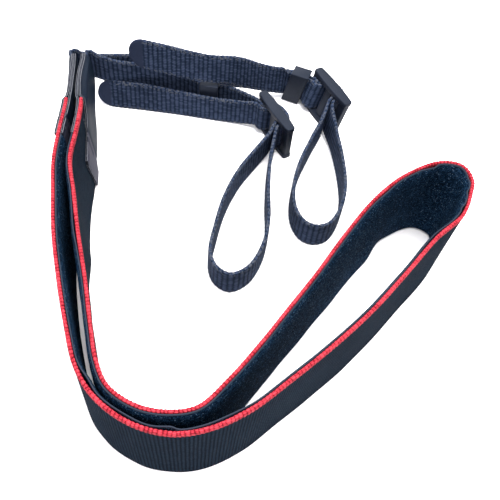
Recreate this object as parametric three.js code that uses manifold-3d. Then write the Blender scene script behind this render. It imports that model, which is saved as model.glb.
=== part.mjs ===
// A camera neck strap that stands on its edge. The wide band is folded double into a hook, a sewn tab
// ends each ply, and each tab's narrow webbing runs through a keeper and a tri-glide, makes the loop
// for the camera's lug and comes back as a free end.
// Millimetres, +Z up, the origin under the middle of the part on the surface it stands on.
import * as THREE from "three";
import { mergeVertices } from "three/addons/utils/BufferGeometryUtils.js";
import Module from "manifold-3d";

const wasm = await Module();
wasm.setup();

// Air between two pieces that touch on the real strap.
const CLEARANCE = 0.3;

// The wide band, which is woven, lined and edged with a raised stripe.
const BAND_WIDTH = 36;
const WOVEN_THICKNESS = 1.2;
const STRIPE_HEIGHT = 2.1;
const LINING_THICKNESS = 1;
const LINING_INSET = 0.5;
const LIP_WAVE = 0.25;
const LIP_WAVE_LENGTH = 14;

// How the strap is laid: its extent to the right and to the back, and the most that the hook opens.
const LAY_WIDTH = 132;
const LAY_DEPTH = 156;
const OPENING = 8.4;

// The sewn tabs: a layer on each side, from the webbing to past the band's end.
const TAB_LAYER = 1;
const TAB_LENGTH = 36;
const TAB_MARGIN = 2;
const TAB_LAP = 12.5;
const TAB_INSET = 0.4;

// The narrow webbing.
const WEB_WIDTH = 11;
const WEB_THICKNESS = 1.2;
const WEB_SEAT = 14;
const SEALED_TIP = 5.5;

// The tri-glide: three bars between two rails.
const GLIDE_MIDDLE_BAR = 3.6;
const GLIDE_SLOT = 5.4;
const GLIDE_END_BAR = 3.8;
const GLIDE_RAIL = 1.7;
const GLIDE_RAIL_END = 3;
const GLIDE_RAIL_MIDDLE = 5.4;
const BAR_BACK = 0.9;
const BAR_FRONT = 1.3;
const SIDE_PLAY = 0.3;

// The keeper: a short square sleeve.
const KEEPER_LENGTH = 7;
const KEEPER_WALL = 1;
const KEEPER_PLAY = 0.5;

// How finely a bend is divided.
const LONGEST_STEP = 4.5;
const TURN_STEP = 0.2;
const PLY_STEP = 3.7;
const WALK = 0.25;

// The middle line between the two plies, from the tabs to the fold. x and y are shares of the lay,
// gap is a share of OPENING, flare is how far the near ply's foot stands out from its upper edge, as a
// share of the band's width, and farFlare is the same of the far ply.
const HOOK = [
  { x: -0.503, y: 0.404, gap: -0.09, flare: 0.07, farFlare: 0.07 },
  { x: -0.481, y: 0.292, gap: -0.04, flare: 0.04, farFlare: 0.04 },
  { x: -0.46, y: 0.173, gap: 0.04, flare: 0, farFlare: 0 },
  { x: -0.459, y: 0.099, gap: 0.06, flare: 0, farFlare: 0.01 },
  { x: -0.458, y: 0.016, gap: 0.04, flare: 0, farFlare: 0.03 },
  { x: -0.44, y: -0.061, gap: 0.1, flare: 0.01, farFlare: 0 },
  { x: -0.419, y: -0.151, gap: 0.13, flare: 0.02, farFlare: -0.05 },
  { x: -0.388, y: -0.25, gap: 0.14, flare: 0.03, farFlare: -0.07 },
  { x: -0.362, y: -0.33, gap: 0.1, flare: 0.03, farFlare: -0.05 },
  { x: -0.337, y: -0.394, gap: 0.06, flare: 0.015, farFlare: -0.02 },
  { x: -0.303, y: -0.438, gap: 0.01, flare: 0, farFlare: 0 },
  { x: -0.242, y: -0.474, gap: 0, flare: -0.02, farFlare: 0.02 },
  { x: -0.176, y: -0.488, gap: 0, flare: -0.03, farFlare: 0.03 },
  { x: -0.1155, y: -0.48, gap: 0.01, flare: -0.04, farFlare: 0.04 },
  { x: -0.053, y: -0.44, gap: 0.25, flare: -0.04, farFlare: 0.04 },
  { x: 0.01, y: -0.387, gap: 0.41, flare: -0.04, farFlare: 0.05 },
  { x: 0.075, y: -0.328, gap: 0.59, flare: -0.03, farFlare: 0.04 },
  { x: 0.154, y: -0.252, gap: 0.77, flare: -0.02, farFlare: 0.02 },
  { x: 0.233, y: -0.167, gap: 0.9, flare: -0.01, farFlare: 0.01 },
  { x: 0.312, y: -0.085, gap: 0.95, flare: 0.01, farFlare: 0.03 },
  { x: 0.384, y: -0.027, gap: 0.96, flare: 0, farFlare: 0.08 },
];

// The round of the fold past the last row of HOOK, as shares of the half opening there.
const FOLD = [
  { ahead: 0.9, aside: 0.65, flare: -0.02 },
  { ahead: 1.25, aside: 0.36, flare: -0.02 },
  { ahead: 1.39, aside: -0.08, flare: 0.02 },
  { ahead: 1.12, aside: -0.54, flare: 0.08 },
];

// Where each webbing runs from its tab to its keeper. lift is a share of its height in the tab.
const RUN_A = [
  { x: -0.527, y: 0.41, lift: 0.98 },
  { x: -0.519, y: 0.423, lift: 0.94 },
  { x: -0.5, y: 0.432, lift: 0.93 },
  { x: -0.46, y: 0.434, lift: 0.93 },
  { x: -0.42, y: 0.432, lift: 0.91 },
  { x: -0.33, y: 0.437, lift: 0.8 },
  { x: -0.178, y: 0.451, lift: 0.55 },
  { x: -0.027, y: 0.462, lift: 0.32 },
  { x: 0.06, y: 0.469, lift: 0.17 },
];
const RUN_B = [
  { x: -0.483, y: 0.416, lift: 1 },
  { x: -0.475, y: 0.421, lift: 1 },
  { x: -0.455, y: 0.419, lift: 0.99 },
  { x: -0.42, y: 0.416, lift: 0.94 },
  { x: -0.386, y: 0.417, lift: 0.85 },
  { x: -0.314, y: 0.424, lift: 0.62 },
  { x: -0.223, y: 0.419, lift: 0.33 },
];
const RUN_B_END = [
  { x: -0.08, y: 0.404, lift: 0.1 },
  { x: -0.03, y: 0.38, lift: 0.12 },
];

// The lug loops, round from the strand next to the middle bar to the one next to the end bar.
const LOOP_A = [
  { x: 0.188, y: 0.335, lift: 0.08 },
  { x: 0.147, y: 0.256, lift: 0.02 },
  { x: 0.108, y: 0.173, lift: 0 },
  { x: 0.09, y: 0.099, lift: 0 },
  { x: 0.093, y: 0.048, lift: 0 },
  { x: 0.114, y: 0.013, lift: 0 },
  { x: 0.144, y: 0.002, lift: 0 },
  { x: 0.178, y: 0.012, lift: 0 },
  { x: 0.209, y: 0.053, lift: 0 },
  { x: 0.228, y: 0.115, lift: 0 },
  { x: 0.229, y: 0.189, lift: 0.02 },
  { x: 0.218, y: 0.272, lift: 0.08 },
];
const LOOP_B = [
  { x: 0.031, y: 0.261, lift: 0.1 },
  { x: -0.01, y: 0.208, lift: 0.05 },
  { x: -0.052, y: 0.151, lift: 0.01 },
  { x: -0.088, y: 0.076, lift: 0 },
  { x: -0.11, y: -0.006, lift: 0 },
  { x: -0.12, y: -0.076, lift: 0 },
  { x: -0.103, y: -0.111, lift: 0 },
  { x: -0.07, y: -0.126, lift: 0 },
  { x: -0.028, y: -0.107, lift: 0 },
  { x: 0.008, y: -0.051, lift: 0 },
  { x: 0.023, y: 0.016, lift: 0 },
  { x: 0.024, y: 0.093, lift: 0.01 },
  { x: 0.029, y: 0.17, lift: 0.05 },
  { x: 0.041, y: 0.24, lift: 0.1 },
];

// The free ends, from the buckle's side to the sealed tip. lean is how far the upper edge stands back.
const FREE_A = [
  { x: 0.062, y: 0.455, lift: 0.28, lean: 0.06 },
  { x: -0.008, y: 0.432, lift: 0.62, lean: 0.11 },
  { x: -0.095, y: 0.402, lift: 1.12, lean: 0.12 },
  { x: -0.17, y: 0.387, lift: 1.34, lean: 0.12 },
  { x: -0.261, y: 0.378, lift: 1.65, lean: 0.11 },
  { x: -0.357, y: 0.367, lift: 1.98, lean: 0.1 },
];
const FREE_B = [
  { x: -0.038, y: 0.356, lift: 0.08, lean: 0 },
  { x: -0.133, y: 0.37, lift: 0, lean: 0.02 },
  { x: -0.223, y: 0.381, lift: 0, lean: 0.08 },
  { x: -0.33, y: 0.391, lift: 0, lean: 0.2 },
  { x: -0.466, y: 0.401, lift: 0, lean: 0.2 },
];

// Where the buckles and keepers stand. heading is in degrees, lean is how far a buckle's top stands back.
const GLIDE_A = { x: 0.199, y: 0.399, heading: -61.5, lean: 0.155 };
const GLIDE_B = { x: 0.048, y: 0.315, heading: -61.7, lean: 0 };
const KEEPER_A = { x: 0.114, y: 0.461, heading: -21.7, lift: 0.144, layers: 2 };
const KEEPER_B = { x: -0.142, y: 0.403, heading: -6, lift: 0.144, layers: 1 };

// How the webbing threads a buckle, from the lug loop to the far end bar. slot is a share of the slot's
// width past the middle bar, and negative in the far slot. face is 1 behind the bars and -1 before them.
const THREAD_INNER = [
  { slot: 0.34, face: -1, stack: 0 },
  { slot: 0.34, face: 0, stack: 0 },
  { slot: 0.13, face: 1, stack: 0 },
  { slot: -0.13, face: 1, stack: 0 },
  { slot: -0.34, face: 0, stack: 0 },
  { slot: -0.44, face: -1, stack: 0 },
  { slot: -0.67, face: -1, stack: 0.93 },
  { slot: -1.05, face: -1, stack: 1 },
];
const THREAD_OUTER = [
  { slot: 0.65, face: -1, stack: 0 },
  { slot: 0.65, face: 0, stack: 0 },
  { slot: 0.28, face: 1, stack: 1 },
  { slot: -0.28, face: 1, stack: 1 },
  { slot: -0.63, face: 0.5, stack: 0 },
  { slot: -0.7, face: -0.55, stack: 0 },
  { slot: -0.89, face: -1, stack: 0 },
  { slot: -1.25, face: -1, stack: 0 },
];

// The outline of a tab's layer past the band's end. past is a share of TAB_LAP, low and high are shares
// of the band's width. One layer is cut short at its upper edge, the others run on along it.
const LAP_SHORT = [
  { past: 0, low: 0, high: 1 },
  { past: 0.12, low: 0, high: 0.84 },
  { past: 0.48, low: 0, high: 0.7 },
  { past: 1, low: 0.5, high: 0.57 },
];
const LAP_LONG = [
  { past: 0, low: 0, high: 1 },
  { past: 0.4, low: 0, high: 1 },
  { past: 0.8, low: 0.3, high: 1 },
  { past: 1.15, low: 0.62, high: 1 },
];

const RISE = (BAND_WIDTH - WEB_WIDTH) / 2;
const LAYER_PITCH = WEB_THICKNESS + CLEARANCE;
const GLIDE_LENGTH = GLIDE_MIDDLE_BAR + 2 * GLIDE_SLOT + 2 * GLIDE_END_BAR;
const GLIDE_WIDTH = WEB_WIDTH + 2 * SIDE_PLAY + 2 * GLIDE_RAIL;
const GLIDE_FLOOR = GLIDE_RAIL + SIDE_PLAY;

function material(color, roughness) {
  return new THREE.MeshStandardMaterial({ color, roughness, metalness: 0 });
}

const LOOKS = {
  woven: () => material(0x1a1c28, 0.85),
  stripe: () => material(0xe8323f, 0.75),
  lining: () => material(0x14161f, 0.95),
  tab: () => material(0x35343c, 0.5),
  webbing: () => material(0x20222f, 0.8),
  plastic: () => material(0x3a3a44, 0.45),
};

function onLay(row) {
  return new THREE.Vector2(row.x * LAY_WIDTH, row.y * LAY_DEPTH);
}

// The side of a heading that faces right: on the band, the woven side.
function rightOf(direction) {
  return new THREE.Vector2(direction.y, -direction.x).normalize();
}

function lerpRows(rows, key, at) {
  const low = Math.min(Math.floor(at), rows.length - 2);
  return THREE.MathUtils.lerp(rows[low][key], rows[low + 1][key], at - low);
}

// A closed skin over rings of equal length. A ring runs up one face and down the other, and both
// faces are split along the same diagonals, so that twisted layers stay parallel.
function skin(rings) {
  const size = rings[0].length;
  const last = (rings.length - 1) * size;
  const index = [];
  for (let i = 0; i + 1 < rings.length; i++) {
    for (let j = 0; j < size; j++) {
      const [a, b] = [i * size + j, i * size + ((j + 1) % size)];
      if (j < size / 2) index.push(a, b, b + size, a, b + size, a + size);
      else index.push(a, b, a + size, b, b + size, a + size);
    }
  }
  for (let j = 0; j + 1 < size / 2; j++) {
    const [a, b, c, d] = [j, j + 1, size - 2 - j, size - 1 - j];
    index.push(a, c, b, a, d, c, last + a, last + b, last + c, last + a, last + c, last + d);
  }
  const geometry = new THREE.BufferGeometry().setFromPoints(rings.flat());
  geometry.setIndex(index);
  return facingOut(geometry);
}

function signedVolume(geometry) {
  const p = geometry.getAttribute("position");
  const corner = (i) => new THREE.Vector3().fromBufferAttribute(p, geometry.index.getX(i));
  let sum = 0;
  for (let i = 0; i < geometry.index.count; i += 3) {
    sum += corner(i).dot(corner(i + 1).cross(corner(i + 2)));
  }
  return sum / 6;
}

function facingOut(geometry) {
  if (signedVolume(geometry) < 0) geometry.setIndex([...geometry.index.array].reverse());
  return geometry;
}

function toSolid(geometry) {
  const bare = new THREE.BufferGeometry();
  bare.setAttribute("position", geometry.getAttribute("position"));
  bare.setIndex(geometry.index);
  const merged = facingOut(mergeVertices(bare, 1e-4));
  return new wasm.Manifold(
    new wasm.Mesh({
      numProp: 3,
      vertProperties: new Float32Array(merged.getAttribute("position").array),
      triVerts: new Uint32Array(merged.index.array),
    }),
  );
}

function joined(geometries) {
  const whole = geometries.map(toSolid).reduce((sum, solid) => sum.add(solid));
  const mesh = whole.getMesh();
  const geometry = new THREE.BufferGeometry();
  geometry.setAttribute("position", new THREE.BufferAttribute(mesh.vertProperties, 3));
  geometry.setIndex(new THREE.BufferAttribute(mesh.triVerts, 1));
  return geometry;
}

// The reference line of the band: out along the near ply, round the fold and back along the far ply.
function plyLine() {
  const middle = HOOK.map(onLay);
  const sides = middle.map((here, i) => {
    const from = middle[Math.max(i - 1, 0)];
    const to = middle[Math.min(i + 1, middle.length - 1)];
    return rightOf(to.clone().sub(from));
  });
  const closed = LINING_THICKNESS + 1.5 * CLEARANCE;
  const halves = HOOK.map((row) => closed + row.gap * OPENING);
  const near = middle.map((here, i) => here.clone().addScaledVector(sides[i], halves[i]));
  const far = middle.map((here, i) => here.clone().addScaledVector(sides[i], -halves[i]));
  const last = middle.length - 1;
  const ahead = new THREE.Vector2(-sides[last].y, sides[last].x);
  const round = FOLD.map((row) =>
    middle[last]
      .clone()
      .addScaledVector(ahead, row.ahead * halves[last])
      .addScaledVector(sides[last], row.aside * halves[last]),
  );
  const points = [...near, ...round, ...far.reverse()];
  const farRows = HOOK.toReversed().map((row) => ({ flare: row.farFlare }));
  const rows = [...HOOK, ...FOLD, ...farRows];
  const curve = new THREE.CatmullRomCurve3(points.map((p) => new THREE.Vector3(p.x, p.y, 0)));
  curve.arcLengthDivisions = 900;
  return { curve, rows, length: curve.getLength() };
}

const PLY = plyLine();

// The frame of the band at a distance along it, and a point there at an offset to the woven side.
function plyAt(distance) {
  const t = PLY.curve.getUtoTmapping(distance / PLY.length);
  const here = PLY.curve.getPoint(t);
  const side = rightOf(PLY.curve.getTangent(t));
  const flare = lerpRows(PLY.rows, "flare", t * (PLY.rows.length - 1));
  return {
    flare,
    side,
    point(offset, height) {
      const out = offset + flare * (BAND_WIDTH - height);
      return new THREE.Vector3(here.x + side.x * out, here.y + side.y * out, height);
    },
  };
}

function evenSteps(from, to, step) {
  const count = Math.ceil((to - from) / step);
  return Array.from({ length: count + 1 }, (_, i) => from + ((to - from) * i) / count);
}

// A strip of the band between two offsets, whose lower and upper edges follow the distance.
function bandStrip(inner, outer, low, high, from) {
  const all = evenSteps(TAB_LENGTH, PLY.length - TAB_LENGTH, PLY_STEP);
  const stations = all.filter((distance) => distance >= from && distance <= PLY.length - from);
  const rings = stations.map((distance) => {
    const frame = plyAt(distance);
    const [foot, top] = [low(distance), high(distance)];
    return [
      frame.point(inner, foot),
      frame.point(inner, top),
      frame.point(outer, top),
      frame.point(outer, foot),
    ];
  });
  return skin(rings);
}

function wovenFace() {
  const foot = STRIPE_HEIGHT + CLEARANCE;
  return bandStrip(0, WOVEN_THICKNESS, () => foot, () => BAND_WIDTH - foot, TAB_LENGTH);
}

function edgeStripe(foot) {
  return bandStrip(0, WOVEN_THICKNESS, () => foot, () => foot + STRIPE_HEIGHT, TAB_LENGTH);
}

// The lining's edges wave a little, and it gives way to the tabs' layers that lap it.
function lining() {
  const wave = (distance) => LIP_WAVE * Math.sin((2 * Math.PI * distance) / LIP_WAVE_LENGTH);
  const low = (distance) => LINING_INSET + wave(distance + LIP_WAVE_LENGTH / 3);
  const high = (distance) => BAND_WIDTH - LINING_INSET + wave(distance);
  const from = TAB_LENGTH + TAB_LAP * LAP_LONG.at(-1).past + CLEARANCE;
  return bandStrip(-CLEARANCE - LINING_THICKNESS, -CLEARANCE, low, high, from);
}

// One layer of a tab. It is narrow at the webbing, as wide as the band at the shoulder, and pinched
// along its edges where nothing lies between the two layers.
function tabLayer(fromEnd, woven, lap) {
  const middle = BAND_WIDTH / 2;
  const endHalf = WEB_WIDTH / 2 + TAB_MARGIN;
  const fullHalf = middle - TAB_INSET;
  const seam = WOVEN_THICKNESS / 2;
  const full = woven ? WOVEN_THICKNESS + CLEARANCE : -CLEARANCE;
  const pinched = woven ? seam + CLEARANCE / 2 : seam - CLEARANCE / 2;
  const thick = woven ? TAB_LAYER : -TAB_LAYER;
  const cutCorner = 3;
  const tongue = [
    { at: 0, half: endHalf - cutCorner, pinch: 0 },
    { at: cutCorner, half: endHalf, pinch: 0 },
    { at: 2 * cutCorner, half: endHalf + 0.6, pinch: 0.6 },
    { at: 0.4 * TAB_LENGTH, half: THREE.MathUtils.lerp(endHalf, fullHalf, 0.34), pinch: 1 },
    { at: 0.7 * TAB_LENGTH, half: THREE.MathUtils.lerp(endHalf, fullHalf, 0.7), pinch: 1 },
    { at: 0.94 * TAB_LENGTH, half: THREE.MathUtils.lerp(endHalf, fullHalf, 0.96), pinch: 0.8 },
  ];
  const rows = tongue.map((row) => ({
    at: row.at,
    low: middle - row.half,
    high: middle + row.half,
    pinch: row.pinch,
  }));
  for (const row of lap) {
    rows.push({
      at: TAB_LENGTH + row.past * TAB_LAP,
      low: TAB_INSET + row.low * 2 * fullHalf,
      high: TAB_INSET + row.high * 2 * fullHalf,
      pinch: 0,
    });
  }
  const across = [
    { share: 0, pinch: 1 },
    { share: 0.04, pinch: 1 },
    { share: 0.11, pinch: 0 },
    { share: 0.5, pinch: 0 },
    { share: 0.89, pinch: 0 },
    { share: 0.96, pinch: 1 },
    { share: 1, pinch: 1 },
  ];
  const rings = rows.map((row) => {
    const frame = plyAt(fromEnd ? PLY.length - row.at : row.at);
    const ring = across.map((node) => {
      const offset = THREE.MathUtils.lerp(full, pinched, node.pinch * row.pinch);
      return { offset, height: THREE.MathUtils.lerp(row.low, row.high, node.share) };
    });
    const inside = ring.map((node) => frame.point(node.offset, node.height));
    const outside = ring.map((node) => frame.point(node.offset + thick, node.height));
    return [...inside, ...outside.reverse()];
  });
  return skin(rings);
}

// A place with its own heading: u runs along it, n to its back.
function placed(row) {
  const angle = THREE.MathUtils.degToRad(row.heading);
  const u = new THREE.Vector2(Math.cos(angle), Math.sin(angle));
  const n = new THREE.Vector2(-u.y, u.x);
  const centre = onLay(row);
  const point = (along, back) => centre.clone().addScaledVector(u, along).addScaledVector(n, back);
  return { u, n, centre, point };
}

// A node of a webbing's route: where its lower edge is, and how its upper edge is set off from it.
function node(flat, height, tilt) {
  return { at: new THREE.Vector3(flat.x, flat.y, height), tilt };
}

const UPRIGHT = new THREE.Vector2(0, 0);
const TO_BACK = new THREE.Vector2(0, 1);

function freeNodes(rows) {
  return rows.map((row) =>
    node(onLay(row), row.lift * RISE, TO_BACK.clone().multiplyScalar(row.lean ?? 0)),
  );
}

// The stretch that is sewn between the tab's layers, from inside the tab to its mouth.
function seatNodes(fromEnd) {
  return [1, 0.6, 0.25, 0].map((share) => {
    const distance = share * WEB_SEAT;
    const frame = plyAt(fromEnd ? PLY.length - distance : distance);
    const foot = frame.point(WOVEN_THICKNESS / 2, RISE);
    return node(new THREE.Vector2(foot.x, foot.y), RISE, frame.side.clone().multiplyScalar(-frame.flare));
  });
}

function threadNodes(glide, rows) {
  const place = placed(glide);
  const tilt = place.n.clone().multiplyScalar(glide.lean);
  const reach = CLEARANCE + WEB_THICKNESS / 2;
  return rows.map((row) => {
    const along = Math.sign(row.slot) * (GLIDE_MIDDLE_BAR / 2 + Math.abs(row.slot) * GLIDE_SLOT);
    const bar = row.face > 0 ? BAR_BACK : BAR_FRONT;
    const back = row.face * (bar + reach) + Math.sign(row.face) * row.stack * LAYER_PITCH;
    const flat = place.point(along, back).addScaledVector(tilt, GLIDE_FLOOR);
    return node(flat, GLIDE_FLOOR, tilt);
  });
}

// The two nodes of one layer of webbing inside a keeper, from right to left.
function keeperNodes(keeper, layer) {
  const place = placed(keeper);
  return [0.45, -0.55].map((share) =>
    node(place.point(share * KEEPER_LENGTH, layer * LAYER_PITCH), keeper.lift * RISE, UPRIGHT),
  );
}

function webbingRoute(end) {
  return [
    ...seatNodes(end.fromEnd),
    ...freeNodes(end.run),
    ...keeperNodes(end.keeper, end.runLayer).reverse(),
    ...freeNodes(end.runEnd),
    ...threadNodes(end.glide, THREAD_OUTER).reverse(),
    ...freeNodes(end.loop).reverse(),
    ...threadNodes(end.glide, THREAD_INNER),
    ...(end.keeper.layers === 2 ? keeperNodes(end.keeper, -end.runLayer) : []),
    ...freeNodes(end.free),
  ];
}

// Walks the route and keeps a station where it has gone a step or turned by a step.
function stationsOf(nodes) {
  const curve = new THREE.CatmullRomCurve3(nodes.map((each) => each.at));
  curve.arcLengthDivisions = 2000;
  const length = curve.getLength();
  const stations = [];
  let held = null;
  const steps = Math.ceil(length / WALK);
  for (let i = 0; i <= steps; i++) {
    const t = curve.getUtoTmapping(i / steps);
    const tangent = curve.getTangent(t);
    const distance = (length * i) / steps;
    const turned = held ? held.tangent.angleTo(tangent) : Infinity;
    const gone = held ? distance - held.distance : Infinity;
    if (i < steps && turned < TURN_STEP && gone < LONGEST_STEP) continue;
    held = { t, tangent, distance };
    stations.push(held);
  }
  return { curve, stations, length };
}

function tiltAt(nodes, t) {
  const at = t * (nodes.length - 1);
  const low = Math.min(Math.floor(at), nodes.length - 2);
  return nodes[low].tilt.clone().lerp(nodes[low + 1].tilt, at - low);
}

// The webbing's width near its sealed end, which is cut round.
function tipShare(left) {
  const inside = Math.min(Math.max(left / SEALED_TIP, 0), 1);
  return Math.max(Math.sqrt(1 - (1 - inside) ** 2), 0.2);
}

function webbing(end) {
  const nodes = webbingRoute(end);
  const { curve, stations, length } = stationsOf(nodes);
  for (const share of [0.05, 0.15, 0.3, 0.5, 0.75]) {
    const distance = length - share * SEALED_TIP;
    const t = curve.getUtoTmapping(distance / length);
    stations.push({ t, tangent: curve.getTangent(t), distance });
  }
  stations.sort((a, b) => a.distance - b.distance);
  const kept = stations.filter((each, i) => i === 0 || each.distance - stations[i - 1].distance > 0.1);
  const rings = kept.map((station) => {
    const here = curve.getPoint(station.t);
    const side = rightOf(station.tangent);
    const tilt = tiltAt(nodes, station.t);
    const slope = Math.hypot(station.tangent.x, station.tangent.y);
    const width = (WEB_WIDTH * tipShare(length - station.distance)) / slope;
    const spare = (WEB_WIDTH / slope - width) / 2;
    const corner = (offset, height) =>
      new THREE.Vector3(
        here.x + side.x * offset + tilt.x * height,
        here.y + side.y * offset + tilt.y * height,
        here.z + height,
      );
    const half = WEB_THICKNESS / 2;
    return [
      corner(-half, spare),
      corner(-half, spare + width),
      corner(half, spare + width),
      corner(half, spare),
    ];
  });
  return skin(rings);
}

function rectangle(left, front, right, back) {
  return new THREE.Shape([
    new THREE.Vector2(left, front),
    new THREE.Vector2(right, front),
    new THREE.Vector2(right, back),
    new THREE.Vector2(left, back),
  ]);
}

// The outline of a rail: thicker at its middle, round at its ends.
function railShape() {
  const end = GLIDE_RAIL_END / 2;
  const crest = GLIDE_RAIL_MIDDLE - end;
  const straight = GLIDE_LENGTH / 2 - end;
  const shape = new THREE.Shape();
  shape.moveTo(-straight, -end);
  shape.quadraticCurveTo(0, -crest, straight, -end);
  shape.absarc(straight, 0, end, -Math.PI / 2, Math.PI / 2, false);
  shape.quadraticCurveTo(0, crest, -straight, end);
  shape.absarc(-straight, 0, end, Math.PI / 2, (3 * Math.PI) / 2, false);
  return shape;
}

function bar(centre, width, front, back) {
  const half = width / 2;
  const cut = 0.4;
  return new THREE.Shape([
    new THREE.Vector2(centre - half + cut, -front),
    new THREE.Vector2(centre + half - cut, -front),
    new THREE.Vector2(centre + half, -front + cut),
    new THREE.Vector2(centre + half, back - cut),
    new THREE.Vector2(centre + half - cut, back),
    new THREE.Vector2(centre - half + cut, back),
    new THREE.Vector2(centre - half, back - cut),
    new THREE.Vector2(centre - half, -front + cut),
  ]);
}

function extruded(shape, depth, foot) {
  const geometry = new THREE.ExtrudeGeometry(shape, { depth, bevelEnabled: false, curveSegments: 6 });
  const indexed = mergeVertices(geometry.deleteAttribute("normal").deleteAttribute("uv"));
  return indexed.translate(0, 0, foot);
}

function triglide(glide) {
  const bite = 0.5;
  const inner = GLIDE_RAIL - bite;
  const reach = GLIDE_WIDTH - 2 * inner;
  const endCentre = GLIDE_LENGTH / 2 - GLIDE_END_BAR / 2 - 0.2;
  const whole = joined([
    extruded(railShape(), GLIDE_RAIL, 0),
    extruded(railShape(), GLIDE_RAIL, GLIDE_WIDTH - GLIDE_RAIL),
    extruded(bar(0, GLIDE_MIDDLE_BAR, BAR_FRONT, BAR_BACK), reach, inner),
    extruded(bar(endCentre, GLIDE_END_BAR, BAR_FRONT, BAR_FRONT), reach, inner),
    extruded(bar(-endCentre, GLIDE_END_BAR, BAR_FRONT, BAR_FRONT), reach, inner),
  ]);
  const place = placed(glide);
  const lean = place.n.clone().multiplyScalar(glide.lean);
  const stand = new THREE.Matrix4().set(
    place.u.x, place.n.x, lean.x, place.centre.x,
    place.u.y, place.n.y, lean.y, place.centre.y,
    0, 0, 1, 0,
    0, 0, 0, 1,
  );
  return whole.applyMatrix4(stand);
}

function keeperSleeve(keeper) {
  const play = KEEPER_PLAY;
  const depth = 2 * WEB_THICKNESS + CLEARANCE + 2 * play;
  const height = WEB_WIDTH + 2 * play;
  const shape = rectangle(
    -depth / 2 - KEEPER_WALL,
    -KEEPER_WALL,
    depth / 2 + KEEPER_WALL,
    height + KEEPER_WALL,
  );
  shape.holes.push(rectangle(-depth / 2, 0, depth / 2, height));
  const geometry = extruded(shape, KEEPER_LENGTH, -KEEPER_LENGTH / 2);
  const place = placed(keeper);
  const stand = new THREE.Matrix4().set(
    place.n.x, 0, place.u.x, place.centre.x,
    place.n.y, 0, place.u.y, place.centre.y,
    0, 1, 0, keeper.lift * RISE - play,
    0, 0, 0, 1,
  );
  return facingOut(geometry.applyMatrix4(stand));
}

const END_A = {
  fromEnd: false,
  run: RUN_A,
  runEnd: [],
  keeper: KEEPER_A,
  runLayer: 0.5,
  glide: GLIDE_A,
  loop: LOOP_A,
  free: FREE_A,
};
const END_B = {
  fromEnd: true,
  run: RUN_B,
  runEnd: RUN_B_END,
  keeper: KEEPER_B,
  runLayer: 0.5,
  glide: GLIDE_B,
  loop: LOOP_B,
  free: FREE_B,
};

const strap = new THREE.Group();

function add(name, geometry, look) {
  const mesh = new THREE.Mesh(geometry, look());
  mesh.name = name;
  strap.add(mesh);
}

add("band", wovenFace(), LOOKS.woven);
add("edge_stripe_upper", edgeStripe(BAND_WIDTH - STRIPE_HEIGHT), LOOKS.stripe);
add("edge_stripe_lower", edgeStripe(0), LOOKS.stripe);
add("lining", lining(), LOOKS.lining);
add("tab_a_outer", tabLayer(false, true, LAP_LONG), LOOKS.tab);
add("tab_a_inner", tabLayer(false, false, LAP_LONG), LOOKS.tab);
add("tab_b_outer", tabLayer(true, true, LAP_SHORT), LOOKS.tab);
add("tab_b_inner", tabLayer(true, false, LAP_LONG), LOOKS.tab);
add("webbing_a", webbing(END_A), LOOKS.webbing);
add("webbing_b", webbing(END_B), LOOKS.webbing);
add("triglide_a", triglide(GLIDE_A), LOOKS.plastic);
add("triglide_b", triglide(GLIDE_B), LOOKS.plastic);
add("keeper_a", keeperSleeve(KEEPER_A), LOOKS.plastic);
add("keeper_b", keeperSleeve(KEEPER_B), LOOKS.plastic);

const reach = new THREE.Box3().setFromObject(strap);
const middle = reach.getCenter(new THREE.Vector3());
strap.position.set(-middle.x, -middle.y, -reach.min.z);

export default strap;
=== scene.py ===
import bisect
import math
from functools import partial

import bmesh
import bpy
from mathutils import Matrix, Vector


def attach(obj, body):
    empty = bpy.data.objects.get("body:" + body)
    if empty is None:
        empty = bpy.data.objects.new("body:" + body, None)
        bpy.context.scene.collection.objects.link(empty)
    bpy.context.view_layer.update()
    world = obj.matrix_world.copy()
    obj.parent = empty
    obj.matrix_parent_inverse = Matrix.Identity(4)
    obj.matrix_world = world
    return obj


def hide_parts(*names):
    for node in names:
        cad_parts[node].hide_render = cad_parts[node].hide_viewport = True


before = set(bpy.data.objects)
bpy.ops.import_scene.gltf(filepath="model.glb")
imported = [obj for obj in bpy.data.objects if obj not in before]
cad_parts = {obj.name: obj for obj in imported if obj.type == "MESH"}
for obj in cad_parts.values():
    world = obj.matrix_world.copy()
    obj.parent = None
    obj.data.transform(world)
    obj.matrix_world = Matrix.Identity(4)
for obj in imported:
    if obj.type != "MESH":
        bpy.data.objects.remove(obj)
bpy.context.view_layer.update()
mm = 0.001
uvScale = 100  # the UV maps' unit, in mm
print("frame loaded:", len(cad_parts), "solids")

# how the strap lies: its extent, how far the hook opens, and where the lay's centre is, in mm
lay = {"width": 132, "depth": 156, "opening": 8.4, "centre": (4.086, 1.470, 0.062)}

# the photograph's camera, in mm and degrees
view = {"place": (-11.41, -123.03, 180.06), "turn": (33.896, -4.154, 0), "lens": 46.08}

lights = {
    "world": 1.2,
    "key": {"place": (0.1, 0.02, 0.85), "size": 0.5, "power": 17.0, "colour": (1.0, 0.985, 0.97)},
    "fill": {"place": (-0.5, -0.3, 0.6), "size": 0.7, "power": 3.5, "colour": (0.93, 0.95, 1.0)},
    "back": {"place": (-0.1, 0.7, 0.5), "size": 0.6, "power": 4.0, "colour": (0.95, 0.97, 1.0)},
}


# curves


def distancesAlong(points):
    distances = [0.0]
    for a, b in zip(points, points[1:]):
        distances.append(distances[-1] + (b - a).length)
    return distances


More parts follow.
